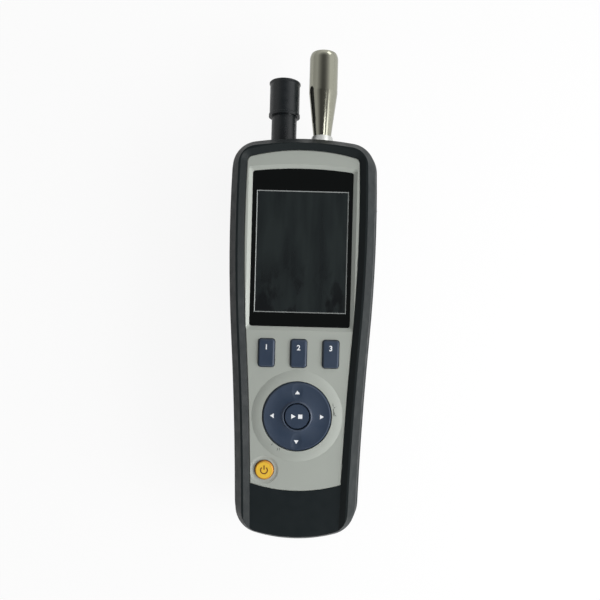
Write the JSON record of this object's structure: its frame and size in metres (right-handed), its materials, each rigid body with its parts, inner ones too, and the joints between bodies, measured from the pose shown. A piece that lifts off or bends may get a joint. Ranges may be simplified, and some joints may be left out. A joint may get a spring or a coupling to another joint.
{
  "type": "airborne particle counter",
  "caption": "Handheld airborne particle counter with a colour display, function keys, a navigation pad, a metal sampling probe and a capped humidity sensor.",
  "frame": {"origin": "centre of the footprint on the flat back, at the level of the back", "axes": "+X to the instrument's right, +Y towards the sampling end, +Z out of the display face"},
  "size_m": [0.0749, 0.246, 0.057],
  "materials": {
    "housing_grey": "fine moulded texture",
    "rim_rubber": "satin soft-touch",
    "panel_black": "satin",
    "housing_black": "fine moulded texture",
    "window": "polished",
    "display": "anti-glare",
    "bracket": "moulded",
    "key_navy": "satin",
    "key_yellow": "satin",
    "silicone": "moulded",
    "circuit_board": "solder mask",
    "steel": "plated",
    "sensor_black": "semi-gloss",
    "collar_metal": "satin",
    "probe_metal": "turned and polished",
    "brass": "plain",
    "pump_plastic": "moulded",
    "battery": "shrink sleeve"
  },
  "bodies": {
    "housing": {"front_housing": "housing_grey", "bumper_overmould": "rim_rubber", "lower_front_panel": "panel_black", "rear_housing": "housing_black", "battery_cover": "housing_black", "display_window": "window", "lcd_module": "display", "lcd_bracket": "bracket", "battery_contacts": "bracket", "keypad_mat": "silicone", "inlet_tube": "silicone", "pump_tube": "silicone", "exhaust_tube": "silicone", "probe_o_ring": "silicone", "main_board": "circuit_board", "port_board": "circuit_board", "photodetector_board": "circuit_board", "humidity_sensor": "circuit_board", "board_screws": "steel", "joint_screws": "steel", "battery_cover_screw": "steel", "dome_switches": "steel", "usb_socket": "steel", "card_slot": "steel", "sensor_neck": "sensor_black", "buzzer": "sensor_black", "dc_jack": "sensor_black", "light_trap": "sensor_black", "inlet_collar": "collar_metal", "optical_chamber": "collar_metal", "pump_motor": "collar_metal", "tripod_insert": "brass", "laser_module": "brass", "pump_head": "pump_plastic", "exhaust_filter": "pump_plastic", "battery_pack": "battery"},
    "function_key_1": {"function_key_1": "key_navy"},
    "function_key_2": {"function_key_2": "key_navy"},
    "function_key_3": {"function_key_3": "key_navy"},
    "nav_pad": {"nav_actuator": "silicone"},
    "nav_ring": {"nav_ring": "key_navy"},
    "run_stop_button": {"run_stop_button": "key_navy"},
    "power_button": {"power_button": "key_yellow"},
    "port_cover": {"port_cover": "rim_rubber"},
    "sensor_cap": {"sensor_cap": "sensor_black"},
    "isokinetic_probe": {"isokinetic_probe": "probe_metal"}
  },
  "joints": [
    {"name": "function_key_1_press", "type": "slide", "parent": "housing", "child": "function_key_1", "axis": [0, 0, -1], "range_m": [0, 0.0006], "stiffness_N_per_m": 2500},
    {"name": "function_key_2_press", "type": "slide", "parent": "housing", "child": "function_key_2", "axis": [0, 0, -1], "range_m": [0, 0.0006], "stiffness_N_per_m": 2500},
    {"name": "function_key_3_press", "type": "slide", "parent": "housing", "child": "function_key_3", "axis": [0, 0, -1], "range_m": [0, 0.0006], "stiffness_N_per_m": 2500},
    {"name": "power_button_press", "type": "slide", "parent": "housing", "child": "power_button", "axis": [0, 0, -1], "range_m": [0, 0.0006], "stiffness_N_per_m": 2500},
    {"name": "run_stop_press", "type": "slide", "parent": "housing", "child": "run_stop_button", "axis": [0, 0, -1], "range_m": [0, 0.0005], "stiffness_N_per_m": 2500},
    {"name": "nav_tilt_up_down", "type": "hinge", "parent": "housing", "child": "nav_pad", "pos_m": [0, -0.0599, 0.05038], "axis": [1, 0, 0], "range_deg": [-2, 2], "stiffness_Nm_per_rad": 0.4},
    {"name": "nav_tilt_left_right", "type": "hinge", "parent": "nav_pad", "child": "nav_ring", "pos_m": [0, -0.0599, 0.05038], "axis": [0, 1, 0], "range_deg": [-2, 2], "stiffness_Nm_per_rad": 0.4},
    {"name": "port_cover_swing", "type": "hinge", "parent": "housing", "child": "port_cover", "pos_m": [0.03553, 0.0104, 0.032], "axis": [0, 0, -1], "range_deg": [0, 90]},
    {"name": "sensor_cap_pull", "type": "slide", "parent": "housing", "child": "sensor_cap", "axis": [0, 1, 0], "range_m": [0, 0.025]},
    {"name": "probe_lift_off", "type": "slide", "parent": "housing", "child": "isokinetic_probe", "axis": [0, 1, 0], "range_m": [0, 0.015]}
  ]
}
